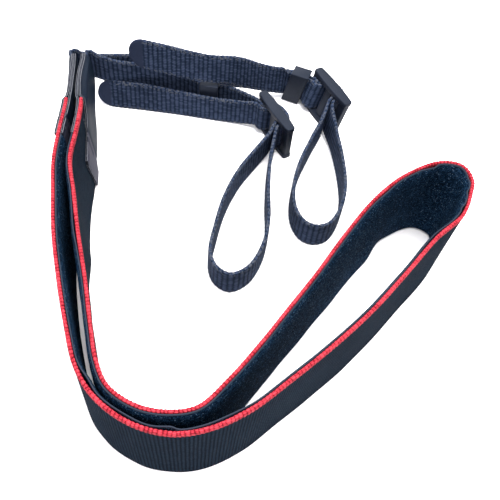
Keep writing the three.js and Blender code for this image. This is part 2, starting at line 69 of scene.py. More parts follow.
def smoothLine(points, perSpan=48):
    # a smooth line through the points, sampled closely, with the distance and the row of each sample
    points = [Vector(p) for p in points]
    samples, rows = [], []
    for span, (b, c) in enumerate(zip(points, points[1:])):
        a = points[span - 1] if span > 0 else b + (b - c)
        d = points[span + 2] if span + 2 < len(points) else c + (c - b)
        gapA, gapB, gapC = (max((q - p).length, 1e-6) ** 0.5 for p, q in ((a, b), (b, c), (c, d)))
        startPull = ((b - a) / gapA - (c - a) / (gapA + gapB) + (c - b) / gapB) * gapB
        endPull = ((c - b) / gapB - (d - b) / (gapB + gapC) + (d - c) / gapC) * gapB
        cubic = 2 * b - 2 * c + startPull + endPull
        square = -3 * b + 3 * c - 2 * startPull - endPull
        for step in range(perSpan):
            w = step / perSpan
            samples.append(((cubic * w + square) * w + startPull) * w + b)
            rows.append(span + w)
    samples.append(points[-1])
    rows.append(len(points) - 1)
    distances = distancesAlong(samples)
    last = len(samples) - 1
    headings = [(samples[min(i + 1, last)] - samples[max(i - 1, 0)]).normalized() for i in range(last + 1)]
    length = distances[-1]
    return {"samples": samples, "rows": rows, "distances": distances, "headings": headings, "length": length}


def alongLine(line, distance):
    distances = line["distances"]
    i = min(max(bisect.bisect_right(distances, distance) - 1, 0), len(distances) - 2)
    share = (distance - distances[i]) / max(distances[i + 1] - distances[i], 1e-9)
    here = line["samples"][i].lerp(line["samples"][i + 1], share)
    heading = line["headings"][i].lerp(line["headings"][i + 1], min(max(share, 0), 1)).normalized()
    row = line["rows"][i] + (line["rows"][i + 1] - line["rows"][i]) * share
    return here, heading, row


def mix(a, b, share):
    return a + (b - a) * share


def eased(x):
    x = min(max(x, 0.0), 1.0)
    return x * x * (3 - 2 * x)


def sign(x):
    return (x > 0) - (x < 0)


def rowValue(values, row):
    i = min(max(int(row), 0), len(values) - 2)
    return mix(values[i], values[i + 1], eased(row - i))


def steps(start, end, size):
    count = max(int(math.ceil((end - start) / size)), 1)
    return [start + (end - start) * i / count for i in range(count + 1)]


def rightOf(heading):
    return Vector((heading.y, -heading.x, 0)).normalized()


def onLay(row):
    return Vector((row[0] * lay["width"], row[1] * lay["depth"], 0))


# meshes


def toWorld(point):
    return (point + Vector(lay["centre"])) * mm


def pieceFrom(name, shape):
    mesh = bpy.data.meshes.new(name)
    shape.to_mesh(mesh)
    shape.free()
    piece = bpy.data.objects.new(name, mesh)
    bpy.context.scene.collection.objects.link(piece)
    return piece


def skinFrom(name, rings, alongs, acrosses, marks=None, edgePlaces=()):
    # rings of equal length become a closed skin, with a UV map along and round it
    size = len(rings[0])
    shape = bmesh.new()
    verts = [[shape.verts.new(toWorld(p)) for p in ring] for ring in rings]
    uv = shape.loops.layers.uv.new("cloth")

    def face(corners, place):
        # each corner gives its ring, its place in the ring, and its place along the section
        made = shape.faces.new([verts[i][j] for i, j, _ in corners])
        for loop, (i, _, k) in zip(made.loops, corners):
            loop[uv].uv = (alongs[i] / uvScale, acrosses[k] / uvScale)
        made.smooth = True
        made.material_index = int(place in edgePlaces)

    for i in range(len(rings) - 1):
        for j in range(size):
            k = (j + 1) % size
            face([(i, j, j), (i + 1, j, j), (i + 1, k, j + 1), (i, k, j + 1)], j)
    for i in (0, len(rings) - 1):
        for j in range(size // 2 - 1):
            order = (j, j + 1, size - 2 - j, size - 1 - j)
            face([(i, q, q) for q in (order if i == 0 else order[::-1])], "end")
    bmesh.ops.recalc_face_normals(shape, faces=shape.faces)
    piece = pieceFrom(name, shape)
    for markName, values in (marks or {}).items():
        layer = piece.data.attributes.new(markName, "FLOAT", "POINT")
        layer.data.foreach_set("value", [float(v) for ring in values for v in ring])
    return piece


def roundedSection(low, high, foot, top, radius, columns, cornerSteps=3):
    # up the first face, over the top, down the second face and back under, as (offset, height)
    def corner(cx, cy, start):
        turns = [start - math.pi / 2 * i / cornerSteps for i in range(cornerSteps + 1)]
        return [(cx + radius * math.cos(t), cy + radius * math.sin(t)) for t in turns]

    shares = [(i + 1) / (columns + 1) for i in range(columns)]
    section = [(low, mix(foot + radius, top - radius, share)) for share in shares]
    section += corner(low + radius, top - radius, math.pi)
    section += corner(high - radius, top - radius, math.pi / 2)
    section += [(high, mix(top - radius, foot + radius, share)) for share in shares]
    section += corner(high - radius, foot + radius, 0)
    return section + corner(low + radius, foot + radius, -math.pi / 2)


def perimeter(section):
    # the way round a section to each of its places, and back to the first
    return distancesAlong([Vector(p) for p in section + section[:1]])


def finishPiece(piece, materials, node=None, angle=None):
    for material in materials:
        piece.data.materials.append(material)
    if angle:
        deselectAll()
        piece.select_set(True)
        bpy.context.view_layer.objects.active = piece
        bpy.ops.object.shade_smooth_by_angle(angle=math.radians(angle))
    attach(piece, "root")
    if node:
        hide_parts(node)


def editMode(on):
    bpy.ops.object.mode_set(mode="EDIT" if on else "OBJECT")


def deselectAll():
    if bpy.context.object and bpy.context.object.mode != "OBJECT":
        editMode(False)
    bpy.ops.object.select_all(action="DESELECT")


# shader groups and materials


def setFields(thing, **fields):
    for field, value in fields.items():
        setattr(thing, field, value)


def addNode(tree, kind, inputs, **fields):
    # a node whose sockets take numbers, colours, or other nodes' sockets
    node = tree.nodes.new("ShaderNode" + kind)
    setFields(node, **fields)
    for title, value in inputs.items():
        if isinstance(value, bpy.types.NodeSocket):
            tree.links.new(value, node.inputs[title])
        else:
            node.inputs[title].default_value = value
    return node


def mathNode(tree, operation, a, b=0.0, clamp=False):
    return addNode(tree, "Math", {0: a, 1: b}, operation=operation, use_clamp=clamp).outputs[0]


def groupOf(name, inputs, outputs):
    # the input called Surface is a place on the surface, and the others are numbers
    tree = bpy.data.node_groups.new(name, "ShaderNodeTree")
    for title in inputs:
        kind = "NodeSocketVector" if title == "Surface" else "NodeSocketFloat"
        tree.interface.new_socket(title, in_out="INPUT", socket_type=kind)
    for title in outputs:
        tree.interface.new_socket(title, in_out="OUTPUT", socket_type="NodeSocketFloat")
    return tree, tree.nodes.new("NodeGroupInput").outputs, tree.nodes.new("NodeGroupOutput").inputs


def makeYarnGroup():
    # ribs along the surface, each broken into staggered floats of yarn across it
    inputs = ("Surface", "Rib Pitch", "Float Pitch", "Float Depth", "Wander")
    tree, given, made = groupOf("yarnWeave", inputs, ("Relief", "Tint"))
    node, calc = partial(addNode, tree), partial(mathNode, tree)
    inMm = node("VectorMath", {0: given["Surface"], "Scale": uvScale}, operation="SCALE")
    wobble = node("TexNoise", {"Vector": inMm.outputs[0], "Scale": 0.35, "Detail": 3})
    x, y, _ = node("SeparateXYZ", {0: inMm.outputs[0]}).outputs
    wander = calc("MULTIPLY", wobble.outputs["Fac"], given["Wander"])
    along = calc("DIVIDE", calc("ADD", x, wander), given["Rib Pitch"])
    column = calc("FLOOR", along)
    shift = calc("MULTIPLY", calc("FLOORED_MODULO", column, 2), 0.5)  # every other rib starts half a float on
    across = calc("ADD", calc("DIVIDE", y, given["Float Pitch"]), shift)
    ridge = calc("SINE", calc("MULTIPLY", calc("FRACT", along), math.pi))
    lump = calc("SINE", calc("MULTIPLY", calc("FRACT", across), math.pi))
    dip = calc("MULTIPLY", calc("SUBTRACT", 1.0, lump), given["Float Depth"])
    relief = calc("MULTIPLY", calc("POWER", ridge, 0.6), calc("SUBTRACT", 1.0, dip))
    cell = node("CombineXYZ", {0: column, 1: calc("FLOOR", across)})
    scatter = node("TexWhiteNoise", {"Vector": cell.outputs[0]}, noise_dimensions="2D")
    tree.links.new(relief, made["Relief"])
    tree.links.new(scatter.outputs["Value"], made["Tint"])
    return tree


def makeFleckGroup():
    # small light flecks scattered over dark yarn
    tree, given, made = groupOf("lightFlecks", ("Surface", "Size", "Share"), ("Mask",))
    node, calc = partial(addNode, tree), partial(mathNode, tree)
    perUnit = calc("DIVIDE", uvScale, given["Size"])
    cells = node("VectorMath", {0: given["Surface"], "Scale": perUnit}, operation="SCALE")
    whole = node("VectorMath", {0: cells.outputs[0]}, operation="FLOOR")
    scatter = node("TexWhiteNoise", {"Vector": whole.outputs[0]}, noise_dimensions="2D")
    tree.links.new(calc("LESS_THAN", scatter.outputs["Value"], given["Share"]), made["Mask"])
    return tree


def makeGrainGroup():
    # fine grain and slow patches, on the piece's own place in space
    tree, given, made = groupOf("fineGrain", ("Grain Scale", "Patch Scale"), ("Grain", "Patch"))
    place = addNode(tree, "TexCoord", {}).outputs["Object"]
    for title, details in (("Grain", {"Detail": 4, "Roughness": 0.6}), ("Patch", {"Detail": 3})):
        noise = addNode(tree, "TexNoise", {"Vector": place, "Scale": given[title + " Scale"], **details})
        tree.links.new(noise.outputs["Fac"], made[title])
    return tree


yarnGroup = makeYarnGroup()
grainGroup = makeGrainGroup()
fleckGroup = makeFleckGroup()


def newMaterial(name, settings):
    material = bpy.data.materials.new(name)
    material.use_nodes = True
    shader = material.node_tree.nodes["Principled BSDF"].inputs
    shader["Roughness"].default_value = settings["roughness"]
    shader["Specular IOR Level"].default_value = settings["specular"]
    shader["Specular Tint"].default_value = (*settings.get("specularColour", (1, 1, 1)), 1)
    return material, material.node_tree, shader


def colourRamp(tree, factor, stops):
    ramp = addNode(tree, "ValToRGB", {0: factor})
    while len(ramp.color_ramp.elements) < len(stops):
        ramp.color_ramp.elements.new(0.5)
    for element, (place, colour) in zip(ramp.color_ramp.elements, stops):
        element.position = place
        element.color = (*colour, 1)
    return ramp.outputs[0]


def mixColour(tree, share, under, over):
    return addNode(tree, "Mix", {0: share, 6: under, 7: (*over, 1)}, data_type="RGBA").outputs[2]


def attributeOf(tree, name):
    return addNode(tree, "Attribute", {}, attribute_name=name).outputs["Fac"]


def coverSurface(tree, shader, colour, height, relief):
    bump = addNode(tree, "Bump", {"Strength": 1.0, "Distance": relief, "Height": height})
    tree.links.new(colour, shader["Base Color"])
    tree.links.new(bump.outputs[0], shader["Normal"])


def clothMaterial(name, settings):
    # a woven cloth: darker in its gaps, as painted shade, lighter on its floats, with slow patches of wear
    material, tree, shader = newMaterial(name, settings)
    node, calc = partial(addNode, tree), partial(mathNode, tree)
    surface = node("UVMap", {}, uv_map="cloth").outputs[0]
    weave = node("Group", {"Surface": surface, **settings["weave"]}, node_tree=yarnGroup).outputs
    scales = {"Grain Scale": settings.get("grain", 1500.0), "Patch Scale": 45.0}
    grain = node("Group", scales, node_tree=grainGroup).outputs
    tinted = calc("MULTIPLY", calc("SUBTRACT", weave["Tint"], 0.5), settings["scatter"])
    patched = calc("MULTIPLY", calc("SUBTRACT", grain["Patch"], 0.5), settings["patch"])
    # the weave's relief sets painted shade in the gaps between floats; the tint and the patches are random
    # tone
    level = calc("ADD", calc("ADD", weave["Relief"], tinted), patched, clamp=True)
    colour = colourRamp(tree, level, settings["colours"])
    height = calc("ADD", weave["Relief"], calc("MULTIPLY", grain["Grain"], 0.25))
    if "flecks" in settings:
        flecks = node("Group", {"Surface": surface, **settings["flecks"]}, node_tree=fleckGroup)
        mask = flecks.outputs["Mask"]
        if "fleckedPart" in settings:
            part = calc("GREATER_THAN", attributeOf(tree, settings["fleckedPart"]), 0.5)
            mask = calc("MULTIPLY", part, mask)
        colour = mixColour(tree, mask, colour, settings["fleckColour"])
    if "mark" in settings:
        mark = attributeOf(tree, settings["mark"])
        colour = mixColour(tree, mark, colour, settings["markColour"])
        height = calc("MULTIPLY", height, calc("SUBTRACT", 1.0, mark))
    coverSurface(tree, shader, colour, height, settings["relief"])
    return material


def grainMaterial(name, settings):
    # a smooth or grained surface: moulded plastic, synthetic leather, or its raw cut edge
    material, tree, shader = newMaterial(name, settings)
    calc = partial(mathNode, tree)
    scales = {"Grain Scale": settings["grain"], "Patch Scale": settings.get("patches", 70.0)}
    grain = addNode(tree, "Group", scales, node_tree=grainGroup).outputs
    level = calc("ADD", calc("MULTIPLY", grain["Patch"], 0.7), calc("MULTIPLY", grain["Grain"], 0.3))
    colour = colourRamp(tree, level, settings["colours"])
    # the mark mixes in a second colour: the lapped panel's own colour, or the painted highlight on the cut
    # edge's arrises
    if "mark" in settings:
        colour = mixColour(tree, attributeOf(tree, settings["mark"]), colour, settings["markColour"])
    smoothest, spread = settings["roughness"] - 0.06, 0.14
    rough = calc("ADD", calc("MULTIPLY", grain["Patch"], spread), smoothest)
    tree.links.new(rough, shader["Roughness"])
    coverSurface(tree, shader, colour, grain["Grain"], settings["relief"])
    return material


# each cloth's colour ramp runs from the painted shade in its gaps, at 0, to the colour of its floats, at 1
wovenCloth = clothMaterial("wovenCloth", {
    "roughness": 0.9,
    "specular": 0.01,
    "weave": {"Rib Pitch": 1.0, "Float Pitch": 0.5, "Float Depth": 0.2, "Wander": 0.4},
    "scatter": 0.25,
    "patch": 0.5,
    "relief": 0.00022,
    "colours": [(0.0, (0.002, 0.003, 0.006)), (0.6, (0.0044, 0.008, 0.0142)), (1.0, (0.0105, 0.0178, 0.028))],
})
stripeCloth = clothMaterial("stripeCloth", {
    "roughness": 0.8,
    "specular": 0.04,
    "weave": {"Rib Pitch": 1.05, "Float Pitch": 0.6, "Float Depth": 0.5, "Wander": 1.2},
    "scatter": 0.6,
    "patch": 0.4,
    "relief": 0.00008,
    "colours": [(0.0, (0.06, 0.002, 0.005)), (0.4, (0.225, 0.0115, 0.021)), (1.0, (0.42, 0.037, 0.052))],
})
liningCloth = clothMaterial("liningCloth", {
    "roughness": 0.9,
    "specular": 0.01,
    "grain": 2600.0,
    "weave": {"Rib Pitch": 0.42, "Float Pitch": 0.36, "Float Depth": 0.8, "Wander": 2.2},
    "scatter": 0.9,
    "patch": 0.8,
    "relief": 0.00006,
    "colours": [(0.0, (0.001, 0.004, 0.009)), (0.75, (0.0045, 0.0155, 0.037)), (1.0, (0.021, 0.05, 0.094))],
    # the lining's light flecks are painted glints on its pile
    "flecks": {"Size": 0.3, "Share": 0.03},
    "fleckColour": (0.07, 0.11, 0.165),
    "mark": "lip",
    "markColour": (0.024, 0.03, 0.044),
})
webbingCloth = clothMaterial("webbingCloth", {
    "roughness": 0.8,
    "specular": 0.03,
    "weave": {"Rib Pitch": 1.7, "Float Pitch": 0.62, "Float Depth": 0.7, "Wander": 0.12},
    "scatter": 0.45,
    "patch": 0.35,
    "relief": 0.00014,
    "colours": [(0.0, (0.0035, 0.007, 0.015)), (0.5, (0.0098, 0.0165, 0.033)), (1.0, (0.034, 0.046, 0.082))],
    "flecks": {"Size": 0.42, "Share": 0.3},
    "fleckedPart": "edge",
    "fleckColour": (0.05, 0.056, 0.072),
    "mark": "sealed",
    "markColour": (0.014, 0.019, 0.036),
})
tabLeather = grainMaterial("tabLeather", {
    "roughness": 0.6,
    "specular": 0.03,
    "grain": 1800.0,
    "relief": 0.00003,
    "colours": [(0.2, (0.003, 0.0065, 0.013)), (0.8, (0.0065, 0.0115, 0.0225))],
    "mark": "panel",
    "markColour": (0.029, 0.029, 0.045),
})
tabCutEdge = grainMaterial("tabCutEdge", {
    "roughness": 0.9,
    "specular": 0.02,
    "grain": 3200.0,
    "patches": 1600.0,
    "relief": 0.00012,
    "colours": [(0.38, (0.008, 0.009, 0.013)), (0.55, (0.02, 0.0215, 0.029)), (0.68, (0.075, 0.08, 0.095))],
    # painted highlight along the cut edge's arrises, where it meets the faces
    "mark": "edgeHighlight",
    "markColour": (0.3, 0.31, 0.34),
})
threadYarn = grainMaterial("threadYarn", {
    "roughness": 0.6,
    "specular": 0.4,
    "grain": 4000.0,
    "relief": 0.00004,
    "colours": [(0.2, (0.006, 0.007, 0.01)), (0.8, (0.02, 0.022, 0.03))],
})
mouldedPlastic = grainMaterial("mouldedPlastic", {
    "roughness": 0.42,
    "specular": 0.1,
    "specularColour": (0.75, 0.84, 1.0),
    "grain": 5200.0,
    "patches": 120.0,
    "relief": 0.000015,
    "colours": [(0.2, (0.0055, 0.0075, 0.0135)), (0.8, (0.0105, 0.0135, 0.022))],
})
print("materials made")


# the wide band

band = {
    "width": 36,  # the band's whole width, in mm
    "gap": 0.3,  # air between the solids
    "woven": 1.2,
    "lining": 1.0,
    "stripe": 2.1,
    "tab": 36,  # from a tab's end to the band's end
    "step": 0.9,
    "shown": 1.0,  # the thickness that shows
    "lap": 14.7,  # the lining starts past the tabs' inner layers
}
bandWidth = band["width"]

# the middle line between the plies: x, y, gap, flare of the near ply, flare of the far ply, and how far the
# far ply stands out, in mm
hookRows = [
    (-0.5, 0.404, -0.07, 0.07, 0.07, 0),
    (-0.481, 0.292, -0.04, 0.04, 0.04, 0),
    (-0.46, 0.173, 0.04, 0, 0, 0),
    (-0.459, 0.099, 0.06, 0, 0.01, 0),
    (-0.458, 0.016, 0.04, 0, 0.03, 0),
    (-0.44, -0.061, 0.1, 0.01, 0, 0),
    (-0.419, -0.151, 0.13, 0.02, -0.05, 0.3),
    (-0.388, -0.25, 0.14, 0.03, -0.07, 0.3),
    (-0.362, -0.33, 0.1, 0.03, -0.05, 0.2),
    (-0.337, -0.394, 0.06, 0.015, -0.02, 0),
    (-0.303, -0.438, 0.01, 0, 0, -0.3),
    (-0.242, -0.474, 0, -0.015, 0.02, 0.2),
    (-0.176, -0.488, 0, -0.03, 0.03, 1.1),
    (-0.1155, -0.48, 0.01, -0.026, 0.04, 1.6),
    (-0.053, -0.44, 0.25, -0.026, 0.02, 0.8),
    (0.01, -0.387, 0.41, -0.028, 0.028, 0.7),
    (0.075, -0.328, 0.59, -0.022, 0.018, 0.7),
    (0.154, -0.252, 0.77, -0.008, 0, 0.7),
    (0.233, -0.167, 0.9, 0.008, -0.035, 0.9),
    (0.312, -0.085, 0.95, 0.016, -0.045, 1.0),
    (0.384, -0.027, 0.96, -0.024, 0.045, 0.3),
]
# the round of the fold: ahead, aside, flare
foldRows = [(0.9, 0.65, -0.05), (1.32, 0.39, -0.025), (1.55, -0.13, 0.02), (1.18, -0.63, 0.06)]


def makePlyLine():
    middle = [onLay(row) for row in hookRows]
    last = len(middle) - 1
    sides = [rightOf(middle[min(i + 1, last)] - middle[max(i - 1, 0)]) for i in range(last + 1)]
    closed = band["lining"] + 1.5 * band["gap"]
    near, far, nearFlares, farFlares = [], [], [], []
    for here, side, (_, _, gap, nearFlare, farFlare, out) in zip(middle, sides, hookRows):
        half = closed + gap * lay["opening"]
        near.append(here + side * half)
        far.append(here - side * (half + out))
        nearFlares.append(nearFlare)
        farFlares.append(farFlare)
    # the fold starts where the last row leaves here, side and half
    onward = Vector((-side.y, side.x, 0))
    fold = [here + onward * ahead * half + side * aside * half for ahead, aside, _ in foldRows]
    line = smoothLine(near + fold + far[::-1])
    line["flares"] = nearFlares + [flare for _, _, flare in foldRows] + farFlares[::-1]
    return line


plyLine = makePlyLine()
bandStart, bandEnd = band["tab"], plyLine["length"] - band["tab"]


def plyFrame(distance):
    here, heading, row = alongLine(plyLine, distance)
    return here, rightOf(heading), rowValue(plyLine["flares"], row)


def tabFrame(fromEnd, at):
    return plyFrame(plyLine["length"] - at if fromEnd else at)


def plyPoint(place, offset, height):
    here, right, flare = place
    out = offset + flare * (bandWidth - height)
    return Vector((here.x + right.x * out, here.y + right.y * out, height))


# the slow uneven sway of cloth: each wave's length over two pi, its start, and its share
swayWaves = [(7.3, 1.0, 0.5), (3.1, 2.3, 0.3), (17.0, 0.7, 0.6)]


def sway(distance, seed, size):
    return size * sum(math.sin(distance / wave + seed * start) * share for wave, start, share in swayWaves)


wovenLook = {
    "foot": 0.45,
    "tuck": 0.15,  # how far it reaches up into the upper stripe
    "skirt": 0.1,  # from this far over the lower stripe it has its whole thickness
    "flap": 0.3,  # how thick the flap before the lower stripe is
    "back": 0.02,
    "front": 0.06,  # how far its face stands in from the thickness that shows
    "sway": 0.1,
}


def makeWovenFace():
    foot, back = wovenLook["foot"], wovenLook["back"]
    top = bandWidth - band["stripe"] + wovenLook["tuck"]
    skirt = band["stripe"] + wovenLook["skirt"]
    front = band["shown"] - wovenLook["front"]
    flap = front - wovenLook["flap"]
    heights = [mix(skirt, top, i / 5) for i in range(6)]
    section = [(flap, foot), (flap, band["stripe"])] + [(back, height) for height in heights]
    section += [(front, height) for height in heights[::-1]] + [(front, mix(foot, skirt, 0.5)), (front, foot)]
    stations = steps(bandStart, bandEnd, band["step"])
    rings = []
    for distance in stations:
        place = plyFrame(distance)
        wave = sway(distance, 1.0, wovenLook["sway"])
        ring = []
        for offset, height in section:
            middle = math.sin(math.pi * min(max((height - foot) / (top - foot), 0), 1))
            ring.append(plyPoint(place, offset + wave * middle, height))
        rings.append(ring)
    piece = skinFrom("band_woven_face", rings, stations, perimeter(section))
    finishPiece(piece, [wovenCloth], "band", angle=40)
    return piece


stripeLook = {
    "step": 0.2,
    "past": 0.4,  # how far it runs under each tab
    "round": 0.42,  # the corners' radius, as a share of its thickness
    "braid": 1.1,  # from one lump to the next
    "lump": 0.1,
    "wander": 0.9,
    "swell": 0.03,
}


def makeStripe(node, foot, low, high, seed):
    # a fat braided cord along the edge, whose lumps lean round it
    look, past, thick = stripeLook, stripeLook["past"], band["stripe"]
    stations = steps(bandStart - past, bandEnd + past, look["step"])
    section = roundedSection(low, high, foot, foot + thick, (high - low) * look["round"], 1)
    middleX, middleY = (low + high) / 2, foot + thick / 2
    rings = []
    for distance in stations:
        place = plyFrame(distance)
        turn = 2 * math.pi * distance / look["braid"] + look["wander"] * math.sin(distance / 4.3 + seed)
        swell = look["swell"] * math.sin(distance / 2.7 + seed)
        ring = []
        for offset, height in section:
            aside, above = offset - middleX, height - middleY
            lump = 1 + look["lump"] * math.cos(turn + 2 * math.atan2(above, aside)) + swell
            ring.append(plyPoint(place, middleX + aside * lump, middleY + above * min(lump, 1.0)))
        rings.append(ring)
    piece = skinFrom(node + "_braid", rings, stations, perimeter(section))
    finishPiece(piece, [stripeCloth], node)
    return piece


# where the lining's lip stands in from the stripe: distance along the band, how far the pucker reaches
# before and after it, and how far it stands in
puckers = [
    (132, 4, 4, 0.5), (145, 8, 6, 0.35), (156.5, 4.5, 1.8, 0.7), (170, 8, 8, 0.3), (250, 12, 6, 0.3),
    (263.5, 5.5, 4.5, 0.25), (264.8, 1.0, 1.2, 0.4), (271.8, 1.2, 1.3, 0.4), (277.5, 1.5, 2, 0.3),
    (292, 1.6, 4.5, 0.8), (300, 3, 5, 0.2), (312, 6, 6, 0.3), (470, 9, 9, 0.3),
]
# the lining's section, from its foot up the pile side to the lip and down against the band: offset, height
liningRows = [(-1.1, 0.6)]
liningRows += [(-1.3, height) for height in (1.2, 4, 10, 17, 24, 29)]
liningRows += [(-1.22, 32), (-1.05, 33.6), (-0.75, 34.6), (-0.55, 35.2), (-0.52, 35.32), (-0.48, 35.62)]
liningRows += [(-0.34, 35.76), (-0.22, 35.74), (-0.14, 35.6), (-0.12, 35.3), (-0.1, 35.15)]
liningRows += [(-0.08, 34.4), (-0.06, 33.4)]
liningRows += [(-0.03, height) for height in (31, 24, 17, 10, 4)]
liningRows += [(-0.1, 0.6)]
liningLook = {
    "step": 0.6,
    "lip": 35.25,  # the lip starts at this height
    "reach": 9.0,  # how far down from the top the puckers and the upper sway reach
    "hem": 5.5,  # the lower sway reaches up to here
    "sway": 0.14,
    "ripple": 0.12,
    "pile": -0.6,  # what stands out past this is the pile side
}


def puckerAt(distance):
    inward = 0.0
    for centre, before, after, size in puckers:
        x = (distance - centre) / (before if distance < centre else after)
        if abs(x) < 2.5:
            inward += size * math.exp(-x * x * 1.6)
    return inward


def makeLining():
    look = liningLook
    stations = steps(bandStart + band["lap"], bandEnd - band["lap"], look["step"])
    top = max(height for _, height in liningRows)
    rings = []
    for distance in stations:
        place, inward = plyFrame(distance), puckerAt(distance)
        upper, lower = (sway(distance, seed, look["sway"]) for seed in (4.0, 9.0))
        ring = []
        for offset, height in liningRows:
            share = eased((height - (top - look["reach"])) / look["reach"])
            low = eased((look["hem"] - height) / 5)
            body = 0
            if offset < look["pile"]:
                middle = math.sin(math.pi * height / bandWidth)
                body = look["ripple"] * math.sin(distance / 5.1 + height / 9) * middle
            lift = upper * share + lower * low
            ring.append(plyPoint(place, offset - inward * share * share + body, height + lift))
        rings.append(ring)
    lips = [[height > look["lip"] for _, height in liningRows]] * len(rings)
    piece = skinFrom("band_lining", rings, stations, perimeter(liningRows), {"lip": lips})
    finishPiece(piece, [liningCloth], "lining")
    return piece


wovenFace = makeWovenFace()
upperFoot = bandWidth - band["stripe"]
upperFront, lowerFront = band["shown"] + 0.04, band["shown"] - 0.42
upperStripe = makeStripe("edge_stripe_upper", upperFoot, 0.03, upperFront, 0.3)
lowerStripe = makeStripe("edge_stripe_lower", 0.0, 0.0, lowerFront, 2.1)
liningPiece = makeLining()
print("band made,", round(plyLine["length"]), "mm of ply")


# the sewn tabs

tab = {
    "layer": 0.8,
    "margin": 2,
    "inset": 0.4,
    "lap": 12.5,  # how far a lap of 1 reaches over the band
    "webWidth": 11,
    "seat": 14,  # how far the webbing reaches in
    "corner": 3.0,
    "seam": 1.8,  # how far the stitches run inside the outline
    "seamWide": 0.42,
    "crossWide": 0.5,
    "crossApart": 2.8,  # from the first cross seam to the second
    "crossSpan": (14, 31),  # the second one's foot and top
    "seamDeep": 0.32,
    "panel": 43.5,  # where the lapped panel starts at the top, from the tab's end
    "slant": 0.3,
    "pressed": 0.12,  # how much of its thickness the cut edge is pressed round
    "closed": 0.45,  # how far the tongue's closed edges stand in from the middle of what shows
    "closedFar": 1.2,  # the same where tab B meets the band
    "stitch": 1.5,
    "skip": 0.8,
}
# the lapped end of a layer: how far on, and its foot and top as shares of the height
lapShort = [(0, 0, 1), (0.12, 0, 0.84), (0.48, 0, 0.7), (1, 0.5, 0.57)]
lapLong = [(0, 0, 1), (0.4, 0, 1), (0.8, 0.3, 1), (1.15, 0.62, 1)]


def tabOutline(lap):
    middle = bandWidth / 2
    endHalf = tab["webWidth"] / 2 + tab["margin"]
    fullHalf = middle - tab["inset"]
    length, corner = band["tab"], tab["corner"]
    tongue = [
        (0, endHalf - corner, 1),
        (corner, endHalf, 1),
        (2 * corner, endHalf + 0.6, 1),
        (0.4 * length, mix(endHalf, fullHalf, 0.34), 1),
        (0.7 * length, mix(endHalf, fullHalf, 0.7), 1),
        (0.94 * length, mix(endHalf, fullHalf, 0.96), 0.8),
    ]
    rows = [(at, middle - half, middle + half, pinch) for at, half, pinch in tongue]
    foot, tall, reach = tab["inset"], 2 * fullHalf, tab["lap"]
    for past, low, high in lap:
        rows.append((length + past * reach, foot + low * tall, foot + high * tall, 0))
    return rows


def outlineAt(rows, at):
    for a, b in zip(rows, rows[1:]):
        if at <= b[0] + 1e-6:
            share = (at - a[0]) / (b[0] - a[0])
            low, high, pinch = (mix(a[i], b[i], share) for i in (1, 2, 3))
            break
    else:
        low, high, pinch = rows[-1][1:]
    corner = tab["corner"]
    if at < corner:  # the tongue's corners are round
        middle = (rows[0][1] + rows[0][2]) / 2
        half = (rows[1][2] - rows[1][1]) / 2 - corner + math.sqrt(max(corner**2 - (corner - at) ** 2, 0.02))
        low, high = middle - half, middle + half
    return low, high, pinch


def pinchShare(share):
    # near its edges the layer closes on the other one, where no webbing lies between
    edge = min(share, 1 - share)
    return 1 - eased((edge - 0.03) / 0.1)


def layerThick(woven):
    return tab["layer"] * (1 if woven else -1)


def layerOffset(woven, share, pinch, pull):
    full = band["shown"] + 0.04 if woven else -0.06
    seam = band["shown"] / 2 - pull
    closed = seam + 0.02 if woven else seam - 0.02
    return mix(full, closed, pinchShare(share) * pinch)


# how far the columns of a tab's layer run inside its edges, in mm
tabInsets = [0, 0.2, 0.55, 1.0, 1.35, 1.6, 1.8, 2.0, 2.25, 2.7, 3.6, 5.0]


def columnHeights(low, high):
    squeeze = min(1, (high - low) / 2 / (tabInsets[-1] + 1.5))
    foot = [low + inset * squeeze for inset in tabInsets]
    inner = tabInsets[-1] * squeeze
    middle = [mix(low + inner, high - inner, i / 20) for i in range(1, 20)]
    return foot + middle + [high - inset * squeeze for inset in reversed(tabInsets)]


def bell(distance, wide):
    return math.exp(-((distance / wide) ** 2))


def panelStart(height):
    return tab["panel"] - (bandWidth - height) * tab["slant"]


def grooveAt(inset, at, height):
    # the stitched grooves: along the edges of the lapped panel, and the two that cross it
    there = eased((at - tab["panel"] - 1) / 2) if inset > 0.5 else 0
    past = at - panelStart(height)
    across = bell(past, tab["crossWide"])
    if tab["crossSpan"][0] < height < tab["crossSpan"][1]:
        across = max(across, bell(past - tab["crossApart"], tab["crossWide"]))
    return max(there * bell(inset - tab["seam"], tab["seamWide"]), across)


def pullAt(fromEnd, at):
    if not fromEnd:
        return tab["closed"]
    return mix(tab["closed"], tab["closedFar"], eased(at / band["tab"]))


def aroundLayer(up, over, down, under):
    # starts in the middle of the foot, so that the layer's end faces lie straight across
    ring = up + over + down + under
    return ring[-2:] + ring[:-2]


